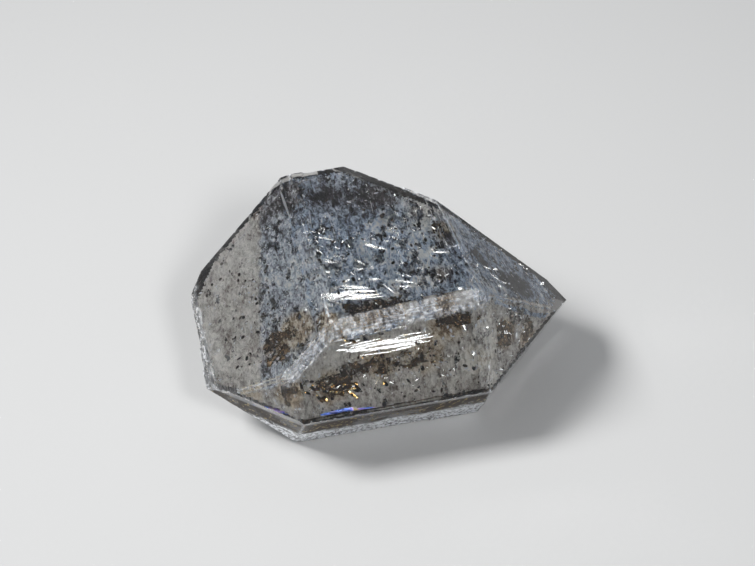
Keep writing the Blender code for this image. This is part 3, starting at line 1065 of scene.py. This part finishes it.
# The gas flakes
# Small flat pockets of gas sealed in along the healed cracks. Each is a tiny mirror, so they glitter white
# where the veils are. They are scattered on the sheets of the paler veils.
bright, paint = new_material("bright_flake")
place = paint.place()
fine = paint.noise(place, 5000.0, 2.0)
shade = paint.mix(fine.between(0.35, 0.65), (0.80, 0.85, 0.93, 1), (0.99, 0.99, 0.98, 1))
plate = paint.surface({"Base Color": shade, "Metallic": fine.between(0.4, 0.6) * 0.6, "Roughness": 0.28})
paint.output(Surface=plate)
flakes = bare_sheets("gas_flakes", [row for row in VEILS[:9] if row[7] < 0.3], 41.0)
grow(
    flakes,
    scatter,
    {
        "Per square millimetre": 13.0,
        "Smallest": 0.010,
        "Largest": 0.060,
        "Stretch": 2.2,
        "Flatness": 0.15,
        "Tilt": 0.45,
        "Raggedness": 0.06,
        "Seed": 9,
        "Finish": bright,
    },
)
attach(flakes, "root")

# The pale threads
# Fine healed cracks seen edge on: thin pale lines that run across the crystal, sealed in under its top face,
# and one broader line near the back.
body = blade_lines()
for number in range(34):
    spot = Vector((chance.uniform(-3.0, 3.4), chance.uniform(-2.6, 2.6), 6.5))
    start = sunk(spot, TOP, 0.45 + chance.uniform(0, 0.15))
    end = start + Vector((chance.normal(-0.10, 0.12), -1.0, 0)) * chance.uniform(0.3, 1.5)
    end = sunk(end, TOP, 0.50)
    thin = chance.uniform(0.008, 0.016)
    add_blade(body, start, end, thin, TOP[0], chance.uniform(-0.05, 0.05))
add_blade(body, Vector((-3.25, 4.1, 6.45)), Vector((-3.2, 2.4, 6.45)), 0.055, TOP[0], 0.02)
threads = as_piece(body, "pale_threads")
grow(threads, blades, {"Thickness": 0.4, "Finish": bright})
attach(threads, "root")

# The blue films
# Four gaps sealed in just inside the lower front edges, so thin that they split the light and shine blue,
# violet and gold.
body = blade_lines()
for start, end, half_width in (
    ((-4.0, -6.15, 3.20), (-2.5, -6.20, 3.30), 0.07),
    ((-3.4, -6.10, 3.05), (-1.6, -6.20, 3.15), 0.04),
    ((-5.9, -4.70, 2.60), (-4.9, -5.70, 3.00), 0.07),
    ((-6.6, -4.10, 2.50), (-5.6, -4.90, 2.70), 0.04),
):
    start = sunk(Vector(start), UPPER_FRONT if start[0] > -4.5 else BLUNT_FRONT, 0.26)
    end = sunk(Vector(end), UPPER_FRONT if end[0] > -4.5 else BLUNT_FRONT, 0.26)
    add_blade(body, start, end, half_width, Vector((-0.05, -0.77, 0.63)).normalized(), 0.01)
rims = as_piece(body, "blue_films")
sheen, paint = new_material("thin_gap")
place = paint.place()
waves = paint.noise(place, 1500.0, 2.0)
colours = paint.ramp(
    waves,
    (0.40, (0.05, 0.09, 0.55, 1)),
    (0.52, (0.10, 0.26, 0.95, 1)),
    (0.60, (0.45, 0.30, 0.85, 1)),
    (0.68, (0.85, 0.65, 0.20, 1)),
)
film = paint.surface({"Base Color": colours, "Metallic": waves.between(0.4, 0.6) * 0.5, "Roughness": 0.3})
paint.output(Surface=film)
grow(rims, blades, {"Thickness": 0.10, "Finish": sheen})
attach(rims, "root")

# The floor, the light and the camera
# A plain pale floor just below the crystal, two soft lamps that the inner gaps throw back to the camera, and
# the camera at the angle of the photograph.
FLOOR_REACH = 2.0
GAP = 2e-5
ground = bpy.data.meshes.new("floor")
corners = [(x * FLOOR_REACH, y * FLOOR_REACH, -GAP) for x, y in ((-1, -1), (1, -1), (1, 1), (-1, 1))]
ground.from_pydata(corners, [], [(0, 1, 2, 3)])
floor = bpy.data.objects.new("floor", ground)
bpy.context.scene.collection.objects.link(floor)
pale, paint = new_material("pale_floor")
card = paint.surface({"Base Color": (0.42, 0.42, 0.417, 1), "Roughness": 0.7})
paint.output(Surface=card)
ground.materials.append(pale)

world = bpy.data.worlds.new("studio")
bpy.context.scene.world = world
world.use_nodes = True
world.node_tree.nodes["Background"].inputs["Color"].default_value = (0.90, 0.94, 1.0, 1)
world.node_tree.nodes["Background"].inputs["Strength"].default_value = 0.32


def soft_light(name, place, size, power):
    """A square lamp of this size in metres, turned towards the crystal."""
    lamp = bpy.data.lights.new(name, "AREA")
    lamp.size = size
    lamp.energy = power
    lamp.spread = math.radians(50)
    light = bpy.data.objects.new(name, lamp)
    light.location = place
    light.rotation_euler = (Vector((0, 0, 0.003)) - Vector(place)).to_track_quat("-Z", "Y").to_euler()
    bpy.context.scene.collection.objects.link(light)


soft_light("key_light", (-0.14, 0.02, 0.18), 0.07, 0.064)
soft_light("fill_light", (0.04, -0.15, 0.17), 0.05, 0.0200)

WIDE, HIGH = 755, 566
SENSOR = 36.0
RISE, TURN = math.radians(46.25), math.radians(-12.2)
AWAY = 129.8
PIXELS_PER_MM = 23.0
middle = Vector((-1.636, -0.416, 3.2))
seen_at = (341.3, 309.7)  # the pixel of the photograph at which that spot is seen
back = Vector((math.sin(TURN) * math.cos(RISE), -math.cos(TURN) * math.cos(RISE), math.sin(RISE)))
right = Vector((math.cos(TURN), math.sin(TURN), 0))
up = back.cross(right)
lens = bpy.data.cameras.new("camera")
camera = bpy.data.objects.new("camera", lens)
bpy.context.scene.collection.objects.link(camera)
lens.sensor_width = SENSOR
lens.lens = PIXELS_PER_MM * AWAY * SENSOR / WIDE
lens.clip_start = 0.001
camera.location = (middle + back * AWAY) * MM
reach = PIXELS_PER_MM * AWAY
look = -back + right * ((WIDE / 2 - seen_at[0]) / reach) + up * ((seen_at[1] - HIGH / 2) / reach)
camera.rotation_euler = look.to_track_quat("-Z", "Y").to_euler()
bpy.context.scene.camera = camera
bpy.context.scene.view_settings.view_transform = "Standard"

cycles = bpy.context.scene.cycles
cycles.max_bounces = 20
cycles.glossy_bounces = 12
cycles.transmission_bounces = 10
cycles.transparent_max_bounces = 20
cycles.blur_glossy = 0.0
